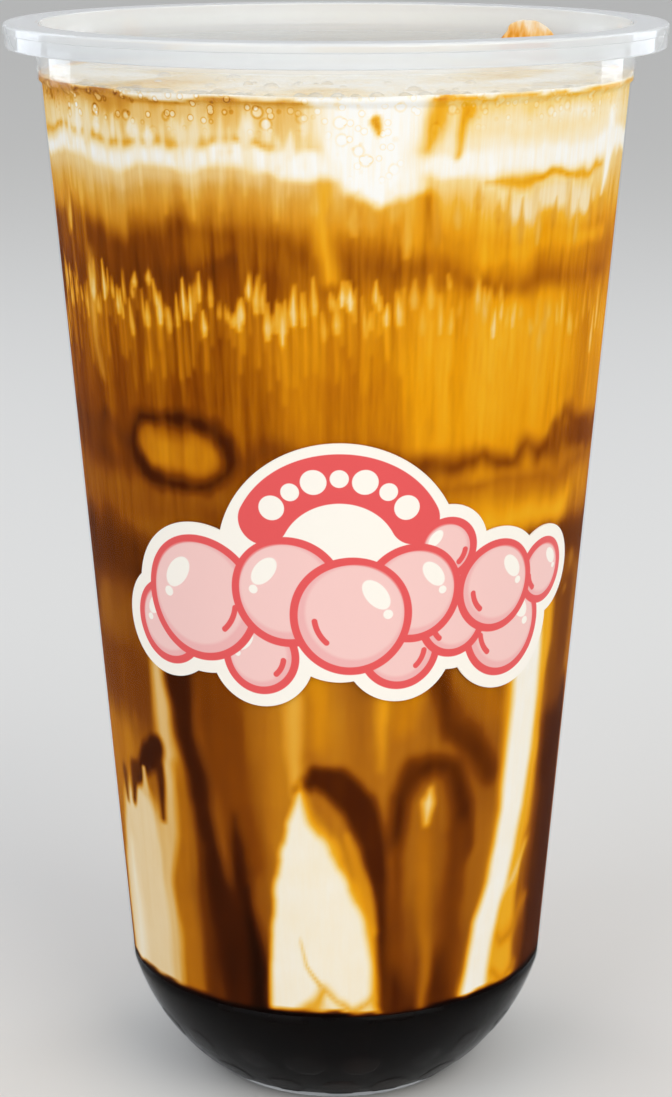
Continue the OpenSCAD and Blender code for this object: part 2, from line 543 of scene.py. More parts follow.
# %% The arches in the middle
LOWER += [
    (0.40, 0.35, 2.2, 1, [(-10.5, 74, 1.5), (-10.5, 62, 1.4), (-10.5, 54, 0.6)]),
    (0.54, 0.10, 3.6, 1, [(-4, 72, 2.4), (-4, 62, 1.4)]),
    (0.48, 0.10, 3.4, 1, [(11, 74, 2.0), (10.6, 66, 1.2), (10, 58, 0.1)]),
    (0.58, 0.10, 4.0, 1, [(18, 72, 2.4), (16, 64, 2.0)]),
    (0.80, 0.15, 3.6, 1, [(22, 72, 1.6), (30, 63, 2.2), (40, 55, 2.2)]),
    (0.64, 0.15, 4.0, 1, [(34, 72, 2.0), (41, 64, 2.0)]),
    (0.84, 0.15, 2.2, 0.5, [(-9, 54.5, 0.8), (-5, 56.5, 1.6), (0, 55.3, 2.6), (5, 52, 2.8),
                            (9, 46, 2.2), (11.5, 38, 1.4), (13, 28, 1.6), (14, 18, 2.2)]),
    (0.52, 0.15, 1.6, 0.5, [(2.5, 47, 0.6), (7, 39, 1.3), (9.5, 32, 0.9)]),
    (0.82, 0.15, 3.2, 0.6, [(14.5, 46, 1.4), (15.5, 53, 1.8), (19, 57, 2.0), (24, 57.5, 1.6),
                            (29, 56, 1.8), (32, 50, 2.0), (33, 44, 1.8)]),
    (0.74, 0.15, 3.0, 1, [(15.5, 45, 1.2), (15.5, 30, 1.2), (17, 18, 2.0)]),
    (0.83, 0.15, 4.0, 1, [(15.5, 25, 1.2), (18, 18, 3.4)]),
    (0.76, 0.15, 3.4, 1, [(31, 46, 1.8), (31, 30, 2.2), (30, 18, 3.0)]),
    (0.82, 0.15, 4.0, 1, [(28, 27, 1.6), (28, 18, 3.4)]),
    (0.62, 0.15, 2.6, 1, [(23, 49, 1.0), (23, 40, 1.3), (23.5, 30, 1.1), (24, 18, 0.8)]),
    (0.20, 0.30, 2.0, 0.4, [(23, 53.6, 0.2), (22.6, 51.8, 0.9), (22.6, 49, 0.3)]),
]
print(len(LOWER), "strokes with the arches")

# %% [markdown]
# The right edge is dark, with gold ripples beside it. Last come the two places where bare
# milk shows: a pointed tongue under the first arch, with a thin gold rim and a few cracks,
# and a long white streak that runs from under the sticker down to the pearls.

# %% The right side and the bare milk
LOWER += [
    (0.84, 0.42, 4.4, 1, [(70.5, 58, 5.8), (70.5, 45, 6.0), (70, 30, 6.0), (69.5, 18, 5.8)]),
    (0.72, 0.45, 5.0, 1, [(68, 78, 4.0), (68, 64, 4.0)]),
    (0.40, 0.05, 2.4, 1, [(58, 78, 1.0), (57, 66, 1.2), (56, 52, 2.0), (53, 42, 2.6),
                          (50, 33, 3.4), (49, 18, 4.8)]),
    (0.56, 0.10, 3.0, 1.4, [(45, 29, 0.3), (50, 27, 0.6), (56, 28, 0.8), (61, 32, 0.4)]),
    (0.56, 0.10, 2.6, 1.4, [(44, 23, 0.3), (50, 20.6, 0.6), (57, 22, 0.6)]),
    (0.24, 0.20, 2.6, 1.4, [(47, 34, 0.3), (53, 35.5, 0.7), (58, 40, 0.3)]),
    (0.44, 0.05, 2.2, 0.5, [(-9, 55.5, 0.2), (-8, 49, 2.2), (-5.5, 43, 4.8), (-4, 36, 7.2),
                            (-3.0, 29, 8.7), (-2.6, 18, 9.4)]),
    (0.06, 0.30, 1.9, 0.25, [(-9, 53.8, 0.1), (-9.3, 49, 1.7), (-7.6, 44, 4.0), (-6.0, 38, 6.1),
                             (-4.4, 32, 7.7), (-3.9, 26, 8.5), (-3.9, 18, 8.5)]),
    (0.20, 0.30, 2.6, 0.5, [(-12, 17, 1.4), (-5, 19, 2.4), (1, 17.6, 1.4), (9, 18, 2.0)]),
    (0.42, 0.20, 2.2, 0.6, [(-13, 18, 0.5), (-6, 20.5, 1.0), (-3, 23.4, 0.6), (0, 21.6, 0.3),
                            (4, 19.6, 0.8), (10, 21.5, 0.4)]),
    (0.34, 0.30, 0.9, 0.5, [(-9, 31, 0.05), (-7.5, 27, 0.2), (-4, 24, 0.4)]),
    (0.42, 0.05, 3.4, 0.6, [(50.5, 76, 4.6), (51, 64, 4.6), (50.5, 56, 4.0), (49.5, 48, 3.3),
                            (47.5, 41, 2.9), (45, 34, 2.7), (41.5, 26, 2.6), (39, 18, 2.7)]),
    (0.03, 0.20, 2.2, 0.6, [(50.5, 76, 2.8), (51.3, 64, 3.2), (50.6, 56, 3.1), (49.8, 48, 2.8),
                            (48.2, 42, 2.6), (46, 36, 2.5), (42.6, 30, 2.6), (41, 24, 2.4),
                            (39.5, 18, 2.6)]),
]
print(len(LOWER), "strokes in the lower half")

# %% [markdown]
# Higher up the syrup lies in bands that sagged before the milk reached them: a loop on the
# left, which is one stroke bent into an oval, and a wavy line across the middle.

# %% The loop and the bands at mid height
LOOP_TURN, LOOP_Z = -35, 103
loop = [(LOOP_TURN + 13 * math.cos(a), LOOP_Z + 5.4 * math.sin(a), 0.8 + 0.3 * math.sin(2 * a))
        for a in np.linspace(0, 2 * math.pi, 17)]
UPPER = [  # depth, stirred, softness, wobble, path
    (0.68, 0.20, 4.0, 1, [(-84, 96, 3.0), (-40, 95, 2.4), (-24, 97, 1.4)]),
    (0.72, 0.15, 3.6, 1, [(-24, 101, 1.0), (-15, 104, 1.6), (-5, 101, 2.0), (8, 101, 2.0),
                          (20, 101, 1.8), (26, 101.5, 1.8), (31, 103, 1.2), (36, 101, 1.6),
                          (40, 101, 1.6), (44, 104, 1.0), (48, 101.5, 1.6), (53, 102.5, 1.4),
                          (58, 106, 1.0), (62, 104, 1.4), (70, 102.5, 2.2), (84, 101, 2.4),
                          (112, 102, 2.0)]),
    (0.64, 0.15, 4.0, 1, [(20, 97.6, 1.2), (50, 97.6, 1.2), (84, 98, 1.4)]),
    (0.42, 0.00, 4.0, 1, [(28, 92, 1.8), (60, 92.5, 2.0)]),
    (0.78, 0.30, 4.0, 1, [(62, 87, 2.2), (84, 85, 3.6)]),
    (0.56, 0.60, 2.6, 1, [(69, 83, 0.8)]),
    (0.56, 0.60, 2.0, 1, [(66, 79, 0.5)]),
    (0.57, 0.10, 3.4, 1, [(LOOP_TURN - 6, LOOP_Z, 2.8), (LOOP_TURN + 6, LOOP_Z, 2.8)]),
    (0.88, 0.18, 2.8, 0.9, loop),
    (0.78, 0.20, 2.4, 1, [(-84, 104, 2.0), (-70, 102.5, 1.8), (-62, 103, 0.9), (-57, 107, 0.7),
                          (-52, 103.5, 1.0)]),
    (0.42, 0.60, 3.0, 1, [(-58, 129, 0.6), (-58, 122, 0.9), (-57, 112, 0.4)]),
]
print(len(UPPER), "strokes at mid height")

# %% [markdown]
# Under the foam a broad brown band goes all the way round. Above it the milk is tan, and
# then white: one bright line marks the foot of the foam.

# %% The brown band and the foot of the foam
UPPER += [
    (0.73, 0.15, 4.6, 1, [(-88, 130.5, 2.2), (-66, 130.5, 2.2), (-50, 130.5, 2.2), (-30, 131, 2.0)]),
    (0.68, 0.12, 4.6, 1, [(-30, 131, 2.0), (-12, 130.5, 2.2), (0, 130.5, 2.2), (12, 129.5, 1.8),
                          (20, 128, 1.4)]),
    (0.60, 0.05, 4.6, 1, [(20, 128, 1.4), (36, 126.6, 1.8), (55, 126, 2.4), (75, 126, 2.4),
                          (100, 128, 2.0)]),
    (0.76, 0.20, 3.0, 1, [(-40, 129, 0.6), (-30, 127, 0.8), (-20, 129, 0.6)]),
    (0.66, 0.10, 3.2, 1, [(26, 127, 0.4), (44, 125.5, 0.8), (70, 125.5, 0.8)]),
    (0.42, 0.05, 3.0, 0.6, [(-2, 140, 0.9), (-1.5, 128, 0.7)]),
    (0.62, 0.10, 3.0, 0.6, [(14, 146, 0.4), (17, 138, 0.8), (18, 133, 0.6)]),
    (0.44, 0.00, 2.4, 1, [(30, 130.6, 0.8), (50, 131.2, 1.0), (66, 130.6, 0.8)]),
    (0.50, 0.05, 1.8, 1, [(29, 140.4, 0.05), (37, 140.2, 0.5), (46, 140.6, 0.5), (56, 140, 0.4),
                          (62, 140.6, 0.05)]),
    (0.15, 0.45, 1.8, 1, [(37, 136.8, 1.5), (47, 137, 1.7), (57, 136.8, 1.5)]),
    (0.30, 0.60, 1.6, 0.6, [(41, 139, 0.2), (41, 134.5, 0.3)]),
    (0.30, 0.60, 1.6, 0.6, [(50, 139, 0.2), (50.5, 134.5, 0.3)]),
    (0.24, 0.60, 4.0, 1, [(-84, 140.6, 0.4), (-45, 140.8, 0.5), (-14, 141, 0.4)]),
    (0.46, 0.55, 3.0, 1, [(-84, 151, 1.4), (-46, 151, 1.6), (-34, 151, 0.8)]),
    (0.22, 0.00, 3.0, 1, [(22, 150.6, 1.4), (40, 150.8, 1.6), (66, 150.4, 1.2)]),
    (0.14, 0.00, 3.2, 1, [(24, 147.4, 0.8), (44, 146.8, 1.2), (62, 147, 0.8)]),
    (0.06, 0.20, 2.0, 1, [(44, 149, 0.5), (54, 148.6, 0.8)]),
    (0.44, 0.30, 1.4, 1, [(-84, 145.4, 0.3), (-50, 145.2, 0.4), (-12, 145.4, 0.3)]),
    (0.02, 0.20, 2.2, 0.8, [(-180, 143, 1.0), (-140, 143.4, 1.3), (-100, 142.4, 0.8), (-80, 142.8, 0.9),
                            (-60, 143.2, 1.1), (-40, 143.0, 0.7), (-30, 143.6, 0.9), (-6, 143.4, 1.1)]),
    (0.02, 0.20, 2.2, 0.8, [(16, 143.0, 0.8), (30, 142.6, 0.6), (45, 142.9, 1.2), (72, 142.6, 1.0),
                            (120, 143.4, 1.3), (180, 143, 1.1)]),
]
print(len(UPPER), "strokes in the upper half")

# %% [markdown]
# The milk was poured in at the front, so a wide white drop hangs there from the top, with
# a gold drip or two on its right. It lies over everything else.

# %% The white drop at the front
WHITE_DROP = [
    (0.07, 0.20, 2.6, 1.6, [(-1, 154, 3.4), (-2, 149, 2.6), (0, 145, 2.2), (3, 142, 1.4)]),
    (0.04, 0.20, 2.6, 1.6, [(13, 154, 3.2), (12.5, 149, 2.4), (13, 144.6, 2.4), (13, 140.4, 2.2),
                            (11, 138, 0.6)]),
    (0.00, 0.10, 2.4, 1.5, [(6, 154, 5.6), (6, 147, 5.2), (7, 143, 4.2), (8, 140, 2.4),
                            (9.5, 138, 1.0)]),
    (0.02, 0.20, 1.8, 1, [(65, 147, 1.0), (66, 142.6, 1.9), (63.8, 138.5, 0.7), (63.2, 136.5, 0.2)]),
    (0.44, 0.05, 2.6, 1, [(20, 152, 1.0), (18.6, 148.5, 1.0), (16.5, 145.4, 0.3)]),
    (0.46, 0.05, 1.8, 1, [(25, 150, 0.5), (23, 147, 0.4), (22, 144.8, 0.2)]),
    (0.46, 0.20, 1.0, 0.8, [(6.8, 149, 0.6), (7.8, 147, 0.2)]),
]
print(len(WHITE_DROP), "strokes for the drop")

# %% [markdown]
# Small drips are too many to draw one by one. They follow a rule with a random part: the
# row of pale teardrops at two thirds of the height, where the milk broke through the brown
# band, and the pale fingers that hang in the film at the top. The seed is fixed, so every
# run draws the same ones.

# %% Small drips, by rule
DRIPS = [  # turns, mean spacing in degrees, height of the heads, length, half width, depth
    (-76, 34, 1.3, (122.6, 128.2), (1.6, 5.6), (0.18, 0.52), (0.06, 0.40)),
    (34, 64, 1.9, (120.0, 124.0), (1.4, 4.4), (0.18, 0.46), (0.20, 0.42)),
    (64, 284, 3.2, (119.0, 126.0), (2.5, 7.0), (0.25, 0.60), (0.22, 0.45)),
    (-66, -6, 2.1, (146.5, 150.2), (2.0, 5.0), (0.35, 0.95), (0.02, 0.14)),
    (-6, 300, 3.4, (136.5, 141.0), (3.0, 7.0), (0.30, 0.80), (0.30, 0.50)),
]


def small_drips(canvas):
    """Lays the rows of small pale teardrops: a pointed head above a wider, fading tail."""
    rng = np.random.default_rng(11)
    for first, last, spacing, heads, lengths, widths, depths in DRIPS:
        turn = first
        while turn < last:
            turn += spacing * rng.uniform(0.45, 1.55)
            head, length = rng.uniform(*heads), rng.uniform(*lengths)
            half, depth, lean = rng.uniform(*widths), rng.uniform(*depths), rng.uniform(-0.4, 0.4)
            low, foot = head - length, turn + lean
            drop = [(turn, head, 0.05), (foot, low + 0.3 * length, half), (foot, low, 0.6 * half)]
            tail = [(foot, low, 0.4 * half), (foot, low - 1.5 * length, 0.1)]
            canvas.stroke(depth, 0.35, 0.8, 0.4, drop, rng.uniform(0.6, 1.0))
            canvas.stroke(depth + 0.12, 0.2, 1.2, 0.3, tail, 0.4)


print(len(DRIPS), "rows of drips")

# %% [markdown]
# The back of the cup gets the front's strokes in a mirror, a little stretched, lowered and
# softened, so that every band runs on round the sides without a break.

# %% The strokes on the back
BACK_STRETCH = 1.12
BACK_SOFT = 1.8
BACK_WOBBLE = 0.4
BACK_LOWERED = 0.88


def on_the_back(strokes, lowered):
    """The same strokes, mirrored to the back of the cup and stretched to meet the front's."""
    mirrored = []
    for depth, stirred, soft, wobble, path in strokes:
        back_path = [(180 - BACK_STRETCH * t, tea_low + (z - tea_low) * lowered, w * BACK_STRETCH)
                     for t, z, w in path]
        mirrored.append((depth, stirred, max(soft, BACK_SOFT), wobble + BACK_WOBBLE, back_path))
    return mirrored


BACK = on_the_back(LOWER, BACK_LOWERED) + on_the_back(UPPER, 1.0)
print(len(BACK), "strokes on the back")

# %% [markdown]
# Four things are added after the strokes. Fine streaks run down everywhere that there is
# syrup, and the tea darkens right above the pearls. Bubbles show in the film at the top,
# most of them on the left. And along the top edge the syrup ends in a wavy shore line,
# with a thin rim of deeper syrup where it dried, and nearly clean foam above it.

# %% Paint the wall


def fine_streaks(canvas):
    """Thin lines of deeper and thinner syrup, strongest high up and none on bare milk."""
    turn, z = canvas.turn, canvas.z
    fine = 0.034 * mottle(turn, z, 0.9, 22, 7) + 0.024 * mottle(turn, z, 2.0, 34, 8)
    canvas.depth += fine * smooth_step(canvas.depth / 0.3) * (0.3 + 0.7 * smooth_step((z - 80) / 30))


def dark_foot(canvas):
    """The uneven edge of the pearls' black syrup, half a millimetre up the wall."""
    turn, flat = canvas.turn, canvas.z * 0
    edge = tea_low + 0.5 + 0.5 * mottle(turn, flat, 9, 20, 9) + 0.3 * mottle(turn, flat, 3, 20, 10)
    canvas.depth += (1.0 - canvas.depth) * smooth_step((edge - canvas.z) / 0.7 + 0.5)


def froth_at_top(canvas):
    """Froth in the film at the top, more of it on the left, and some in the white drop."""
    left = smooth_step((-4 - turn_from(canvas.turn, 0)) / 12)
    film = smooth_step((canvas.z - 146.5) / 2.5) * (0.35 + 0.65 * left)
    drop = canvas.cover([(5, 152, 6), (7, 144, 3)], 3.0, 0.5)
    canvas.froth = np.maximum(film, 0.5 * drop)


def shore_line(canvas):
    """Ends the syrup in a wavy line just under the top, higher at both sides."""
    turn, flat = canvas.turn, canvas.z * 0
    front_turn = turn_from(turn, 0)
    shore = 151.0 + 0.55 * mottle(turn, flat, 11, 20, 12) + 0.3 * mottle(turn, flat, 2.6, 20, 13)
    shore += 0.9 * smooth_step((-front_turn - 34) / 14) + 0.6 * smooth_step((front_turn - 20) / 10)
    above = canvas.z - shore
    canvas.depth += 0.14 * np.exp(-(above / 0.35) ** 2) * smooth_step(canvas.depth / 0.25)
    canvas.depth *= 1 - 0.93 * smooth_step((above - 0.3) / 0.4 + 0.5)


def paint_wall(turn, z):
    """The canvas of the drink's side at these turns and heights, with all strokes on it."""
    canvas = Canvas(turn, z)
    ground_coat(canvas)
    canvas.lay(BACK + LOWER + UPPER)
    small_drips(canvas)
    canvas.lay(WHITE_DROP)
    for finish in (fine_streaks, dark_foot, froth_at_top, shore_line):
        finish(canvas)
    canvas.depth = np.clip(canvas.depth, 0, 1)
    return canvas


print("strokes to lay:", len(BACK + LOWER + UPPER + WHITE_DROP), "and the small drips")

# %% [markdown]
# ## The milk tea
#
# The drink is one body of liquid against the wall. It is turned from the inside of the
# wall, and reaches a third of a millimetre into the plastic. With a gap there, the render
# would show a silvery film of air, which a wet wall never has. Columns of points stand
# closer than rows, because almost every streak runs down the wall, and closer at the front
# than round the back.

# %% Columns and rings of the drink's side
INTO_WALL = 0.34
FRONT_EDGE = 84
FRONT_COLUMNS, BACK_COLUMNS = 310, 115
turns = np.concatenate([
    np.linspace(-FRONT_EDGE, FRONT_EDGE, FRONT_COLUMNS, endpoint=False),
    np.linspace(FRONT_EDGE, 360 - FRONT_EDGE, BACK_COLUMNS, endpoint=False),
])


def filling_rings(heights, into_wall):
    """Rings of the drink's side at these heights, just inside the plastic."""
    return turned(np.stack([inner_r(heights) + into_wall, heights], 1), turns)


print(f"{len(turns)} columns, {math.radians(turns[1] - turns[0]) * FLAT_R:.2f} mm apart in front")

# %% Turn the body of the drink
TEA_ROWS = 228
tea_heights = np.linspace(tea_low, tea_high, TEA_ROWS)
tea_paint = paint_wall(*np.meshgrid(turns, tea_heights))
tea = ring_mesh("milk_tea_body", filling_rings(tea_heights, INTO_WALL), {
    "syrup": tea_paint.depth, "stirred": tea_paint.stirred, "froth": tea_paint.froth,
})
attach(tea, "root")
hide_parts("milk_tea")

# %% [markdown]
# ## The milk foam
#
# The foam floats on top and shows as a pale band at the side. Its surface is not flat: it
# climbs a little at the wall, as any liquid does, and lies in low soft mounds where it was
# poured. On top, syrup from the wall trails inwards in a loose swirl. The foam starts three
# millimetres below the top of the tea, a hair's breadth further in, and leans out past it.
# The two surfaces cross without a step, so that no line shows where they meet.

# %% The side of the foam
OVERLAP = 3.0
LEAN = 0.02
side_heights = np.linspace(foam_low - OVERLAP, foam_high - 0.1, 40)
side_lean = np.clip((side_heights - foam_low) / OVERLAP * 2 + 1, -1, 1) * LEAN
side_rings = filling_rings(side_heights, INTO_WALL + side_lean)
side_paint = paint_wall(*np.meshgrid(turns, side_heights))
print(f"the foam's side runs from {side_heights[0]:.1f} to {side_heights[-1]:.1f} mm")

# %% Shape the top of the foam
MENISCUS_H = 0.5
MENISCUS_W = 1.6
TOP_DROP = 0.55
top_r = inner_r(foam_high) + INTO_WALL + LEAN
shares = np.concatenate([1 - np.linspace(0.003, 0.05, 8), np.linspace(0.935, 0.02, 44)])
top_turn, top_share = np.meshgrid(turns, shares)
radius = top_r * top_share
x, y = radius * np.sin(np.radians(top_turn)), -radius * np.cos(np.radians(top_turn))


def flat_mottle(cell, seed):
    """Smooth random values over the flat top, in cells of that many millimetres."""
    return mottle(x / AROUND * 360, y + 60, cell, cell, seed)


mounds = 0.5 * flat_mottle(13, 31) + 0.15 * flat_mottle(4, 32)
climb = MENISCUS_H * np.exp(-(top_r - radius) / MENISCUS_W)
top_z = foam_high - TOP_DROP + climb + mounds * 0.5
top_rings = np.stack([x, y, np.minimum(top_z, foam_high)], -1)
print(f"the top lies between {top_z.min():.2f} and {min(top_z.max(), foam_high):.2f} mm")

# %% [markdown]
# Syrup on top lies in uneven trails: wide where it fell, thin where the pour ended, and
# turned round the middle by the last stir. Two random fields bend them out of shape. Close
# to the wall the top takes the colour of the side, so that no edge shows between them.

# %% Colour the top and join it to the side
swirl_turn = top_turn + 110 * (1 - top_share) + 46 * flat_mottle(17, 33) + 14 * flat_mottle(6, 36)
arms = 0.5 + 0.5 * np.cos(np.radians(2 * swirl_turn + 40)) + 0.35 * flat_mottle(11, 35)
arms = smooth_step((arms - 0.62) / 0.55) * smooth_step((top_share - 0.10) / 0.6)
top_depth = 0.04 + 0.20 * arms + 0.04 * flat_mottle(4, 34) + 0.03 * flat_mottle(1.5, 37)
near_wall = smooth_step((top_share - 0.95) / 0.05)
top_depth = top_depth + (side_paint.depth[-1] * 0.8 - top_depth) * near_wall
top_stirred = np.full_like(top_depth, 0.5)
top_froth = np.full_like(top_depth, 0.8)
all_rings = np.concatenate([side_rings, top_rings])
foam_attributes = {
    "syrup": np.concatenate([side_paint.depth, np.clip(top_depth, 0, 1)]),
    "stirred": np.concatenate([side_paint.stirred, top_stirred]),
    "froth": np.concatenate([side_paint.froth, top_froth]),
}
foam = ring_mesh("milk_foam_top", all_rings, foam_attributes)
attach(foam, "root")
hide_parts("milk_foam")

# %% [markdown]
# ## Syrup over milk
#
# Milk is white because tiny drops of fat scatter light. Brown sugar syrup over it works as
# a coloured filter, so the colour runs from cream through gold and amber to nearly black as
# it gets deeper. Fine vertical streaks, too fine for the mesh, come from a noise that is
# squeezed sideways to about half a millimetre. They are strong in the upper half, where
# the syrup is a thin film, and weak below. A softer cloud noise has cells of 6 mm.

# %% Read the depth and roughen it
STREAKS_PER_METRE = (1800, 1800, 45)
CLOUDS_PER_METRE = 160.0
drink = material("milk_and_brown_sugar_syrup")
tree = drink.node_tree
depth_in = add(tree, "Attribute", attribute_name="syrup")
stirred_in = add(tree, "Attribute", attribute_name="stirred")
froth_in = add(tree, "Attribute", attribute_name="froth")
place = add(tree, "TexCoord")
streak_place = add(tree, "Mapping", {0: place.outputs["Object"], "Scale": STREAKS_PER_METRE})
streaks = add(tree, "TexNoise", {"Vector": streak_place.outputs[0], "Scale": 1.0, "Detail": 2.0})
cloud = add(tree, "TexNoise", {"Vector": place.outputs["Object"], "Scale": CLOUDS_PER_METRE, "Detail": 4.0})
streak_part = add(tree, "Math", {0: streaks.outputs[0], 1: 0.5}, operation="SUBTRACT")
cloud_part = add(tree, "Math", {0: cloud.outputs[0], 1: 0.5}, operation="SUBTRACT")
height = add(tree, "SeparateXYZ", {0: place.outputs["Object"]})
streak_share = add(tree, "MapRange", {
    "Value": height.outputs["Z"], "From Min": 80 * MM, "From Max": 110 * MM, "To Min": 0.03, "To Max": 0.12,
})
streaked = add(tree, "Math", {
    0: streak_part.outputs[0], 1: streak_share.outputs[0], 2: depth_in.outputs["Fac"],
}, operation="MULTIPLY_ADD")
clouded = add(tree, "Math", {
    0: cloud_part.outputs[0], 1: 0.06, 2: streaked.outputs[0],
}, operation="MULTIPLY_ADD")
print("streaks and clouds over the depth:", len(tree.nodes), "nodes")

# %% [markdown]
# The froth in the film is made of bubbles one to two millimetres wide. Each shows a pale
# inside and a thin darker edge where its skin is seen from the side. Cells of a Voronoi
# texture give the places, and two sizes of them are laid over one another.

# %% The froth in the film
SMALL_CELL, LARGE_CELL = 1 / 640.0, 1 / 330.0


def bubble_layer(depth_below, cell, size):
    """Froth over the syrup depth. cell is in metres, and size is a share of the cell."""
    cells = add(tree, "TexVoronoi", {"Vector": place.outputs["Object"], "Scale": 1 / cell})
    far = cells.outputs["Distance"]
    edge_at = add(tree, "MapRange", {"Value": far, "From Min": size + 0.10, "From Max": size + 0.03})
    inside_at = add(tree, "MapRange", {"Value": far, "From Min": size, "From Max": size - 0.07})
    edge = add(tree, "Math", {0: edge_at.outputs[0], 1: froth_in.outputs["Fac"]}, operation="MULTIPLY")
    inside = add(tree, "Math", {0: inside_at.outputs[0], 1: froth_in.outputs["Fac"]}, operation="MULTIPLY")
    edged = add(tree, "Math", {0: edge.outputs[0], 1: 0.13, 2: depth_below}, operation="MULTIPLY_ADD")
    filled = add(tree, "Math", {
        0: inside.outputs[0], 1: -0.26, 2: edged.outputs[0],
    }, operation="MULTIPLY_ADD")
    return filled.outputs[0]


frothy = bubble_layer(clouded.outputs[0], SMALL_CELL, 0.27)
frothy = bubble_layer(frothy, LARGE_CELL, 0.24)
print(f"bubbles in cells of {SMALL_CELL / MM:.1f} and {LARGE_CELL / MM:.1f} mm")

# %% [markdown]
# Stirred in, syrup scatters light too, and gives dull tans. So there are two colour ramps,
# one for syrup over milk and one for syrup in it, and the stirred share chooses between
# them. The liquid wets the wall, and a wet wall shows no second shine behind its own, so
# the specular level is nought.

# %% Give the depth its colours
filtered = add(tree, "ValToRGB", {0: frothy}, stops=[
    (0.0, "#FFFDF8"), (0.10, "#FDECC6"), (0.22, "#FAD988"), (0.36, "#F8B826"), (0.48, "#F0A006"),
    (0.60, "#C87604"), (0.72, "#8A4202"), (0.84, "#4C1B02"), (0.93, "#280C02"), (1.0, "#090302"),
])
stirred_ramp = add(tree, "ValToRGB", {0: frothy}, stops=[
    (0.0, "#FDF6E8"), (0.14, "#F5DFB8"), (0.28, "#E8C388"), (0.42, "#CB964E"), (0.56, "#A26A2A"),
    (0.70, "#74421A"), (0.84, "#482211"), (1.0, "#120705"),
])
colour = add(tree, "Mix", {
    "Factor": stirred_in.outputs["Fac"], "A": filtered.outputs[0], "B": stirred_ramp.outputs[0],
}, data_type="RGBA")
liquid = add(tree, "BsdfPrincipled", {
    "Base Color": colour.outputs["Result"], "Roughness": 0.25, "IOR": 1.34, "Specular IOR Level": 0.0,
})
shade(drink, liquid.outputs[0])
tea.data.materials.append(drink)
foam.data.materials.append(drink)
print(drink.name, "with", len(tree.nodes), "nodes")

# %% [markdown]
# ## Bubbles on the foam
#
# Shaken milk foam ends in bubbles, and they gather where they touch the wall. Each one is
# a thin dome of milk, a millimetre or two wide, pressed together with its neighbours. They
# are real domes, because their outline shows against the light through the rim.

# %% Blow the bubbles


def unit_ball(subdivisions):
    """The corners and the faces of a ball of radius 1, made of even triangles."""
    bpy.ops.mesh.primitive_ico_sphere_add(subdivisions=subdivisions, radius=1)
    made = bpy.context.object
    corners = np.array([v.co for v in made.data.vertices])
    faces = np.array([list(p.vertices) for p in made.data.polygons])
    bpy.data.objects.remove(made)
    return corners, faces


def many_balls(name, ball, placed):
    """One mesh of many balls, each with its own (points, 3) place in millimetres."""
    faces = [ball[1] + number * len(ball[0]) for number in range(len(placed))]
    mesh = bpy.data.meshes.new(name)
    mesh.from_pydata((np.vstack(placed) * MM).tolist(), [], np.vstack(faces).tolist())
    mesh.shade_smooth()
    made = bpy.data.objects.new(name, mesh)
    scene.collection.objects.link(made)
    print(f"{name}: {len(placed)} balls, {len(mesh.polygons)} faces")
    return made


# %% [markdown]
# Most bubbles sit at the wall, every second one of them in front, and the rest float freely.
# Each is a slightly flattened ball with its lower half sunk in the foam.

# %% Place them on the foam
BUBBLE_COUNT, AT_WALL = 150, 115
SMALLEST, LARGEST = 0.35, 1.15
FLATTENED = 0.72
HIGHEST_OVER_FOAM = 0.9
rng = np.random.default_rng(17)
small_ball = unit_ball(3)
blown = []
for number in range(BUBBLE_COUNT):
    size = rng.uniform(SMALLEST, LARGEST)
    at_wall = number < AT_WALL
    turn = math.radians(rng.uniform(-180, 180) if number % 2 else rng.uniform(-70, 25))
    away = size * rng.uniform(0.75, 1.5) if at_wall else rng.uniform(3, 26)
    r = top_r - INTO_WALL - away
    surface = foam_high - TOP_DROP + MENISCUS_H * math.exp(-away / MENISCUS_W)
    dome = small_ball[0] * size * np.array([1, 1, FLATTENED])
    dome = dome + np.array([r * math.sin(turn), -r * math.cos(turn), surface - 0.1 * size])
    dome[:, 2] = np.minimum(dome[:, 2], foam_high + HIGHEST_OVER_FOAM)
    blown.append(dome)
bubbles = many_balls("foam_bubbles", small_ball, blown)
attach(bubbles, "root")

# %% [markdown]
# The skin of a bubble is a film of milk. It lets some light through, shines, and is a
# little yellow from the syrup: a smooth surface over a pale cream, with a trace of glass.

# %% Make the bubbles' finish
milk_film = material("milk_bubble_film")
tree = milk_film.node_tree
place = add(tree, "TexCoord")
tint = add(tree, "TexNoise", {"Vector": place.outputs["Object"], "Scale": 300.0, "Detail": 2.0})
tint_colour = add(tree, "ValToRGB", {0: tint.outputs[0]}, stops=[(0.35, "#F6E2BC"), (0.65, "#FBF1DE")])
skin = add(tree, "BsdfPrincipled", {
    "Base Color": tint_colour.outputs[0], "Roughness": 0.12, "IOR": 1.34, "Transmission Weight": 0.25,
})
shade(milk_film, skin.outputs[0])
bubbles.data.materials.append(milk_film)
print(milk_film.name, "with", len(tree.nodes), "nodes")

# %% [markdown]
# ## A smear of syrup above the drink
#
# Where the syrup was smeared round the cup, a thumb's width of it stayed on the inside of
# the wall at the back, above the drink. It is a film a few tenths of a millimetre thick,
# thickest at its lower end where it sags, and its edge is uneven. It is deep orange low
# down and drained to a pale cream at its top.

